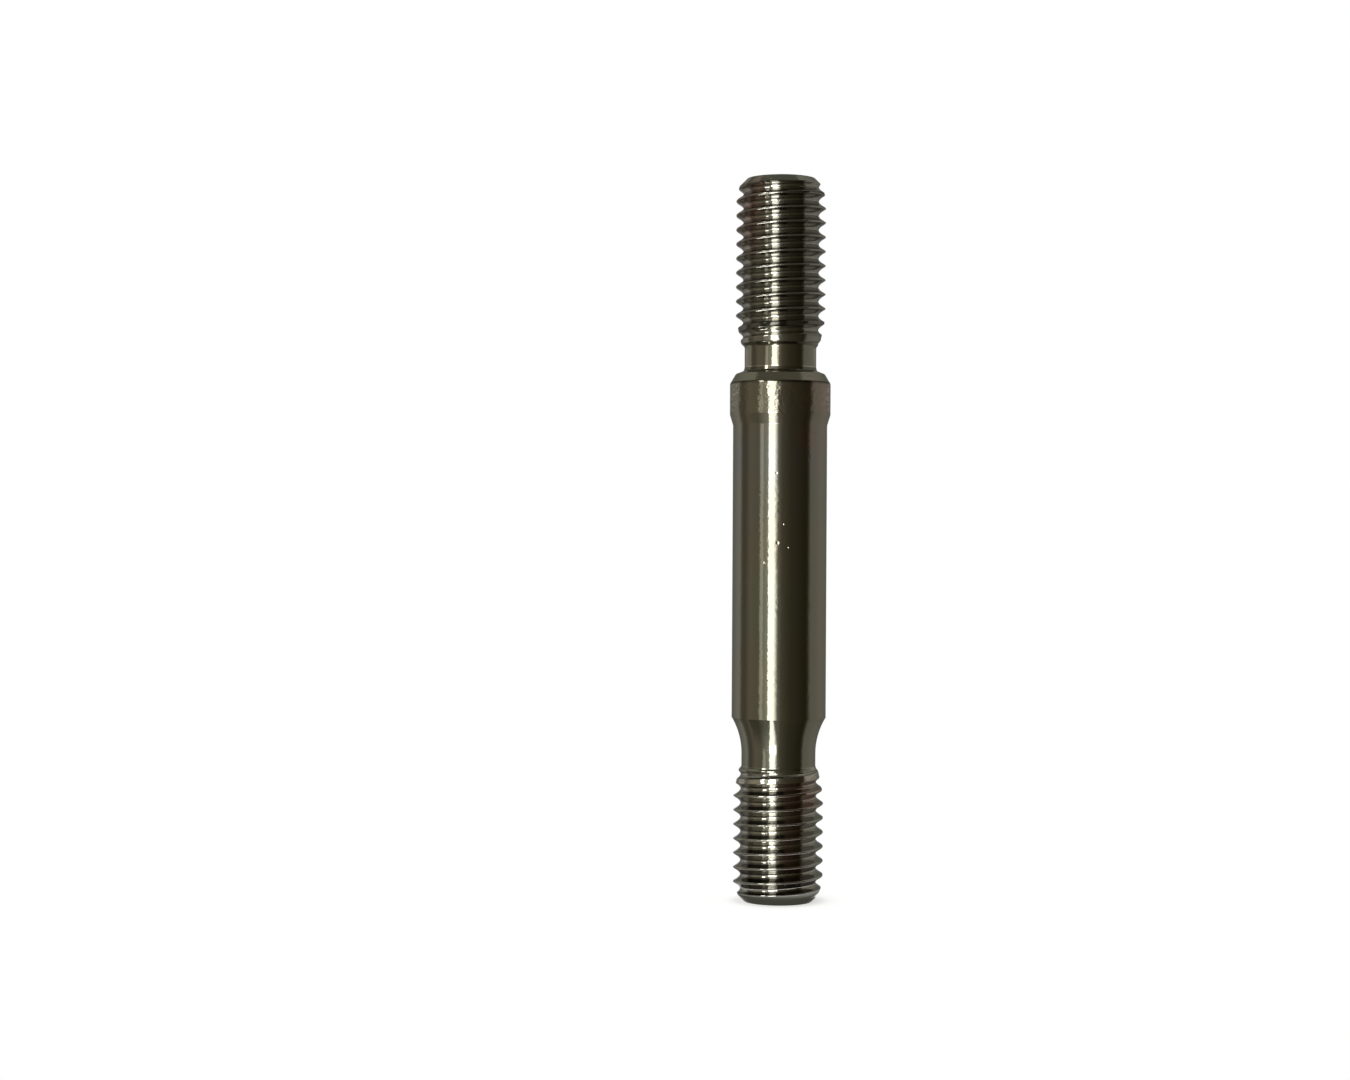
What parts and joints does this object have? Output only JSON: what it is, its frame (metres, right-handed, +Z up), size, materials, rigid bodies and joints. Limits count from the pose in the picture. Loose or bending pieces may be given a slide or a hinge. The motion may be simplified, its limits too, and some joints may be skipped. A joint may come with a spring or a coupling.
{
  "type": "double-ended stud bolt",
  "caption": "Double-ended stud bolt: short and long threaded ends, two necks, plain shank and a slightly larger collar under the long end.",
  "frame": {"origin": "centre of the lower end face, the flat end of the short thread, on which the stud stands", "axes": "+Z up the stud's axis, from the short threaded end to the long one; +X to the right and +Y away as seen from the front"},
  "size_m": [0.0088, 0.0088, 0.0631],
  "materials": {
    "polished_steel": "bright polished steel, faint turning marks, a few small nicks"
  },
  "bodies": {
    "root": {"stud_bolt": "polished_steel"}
  },
  "joints": []
}
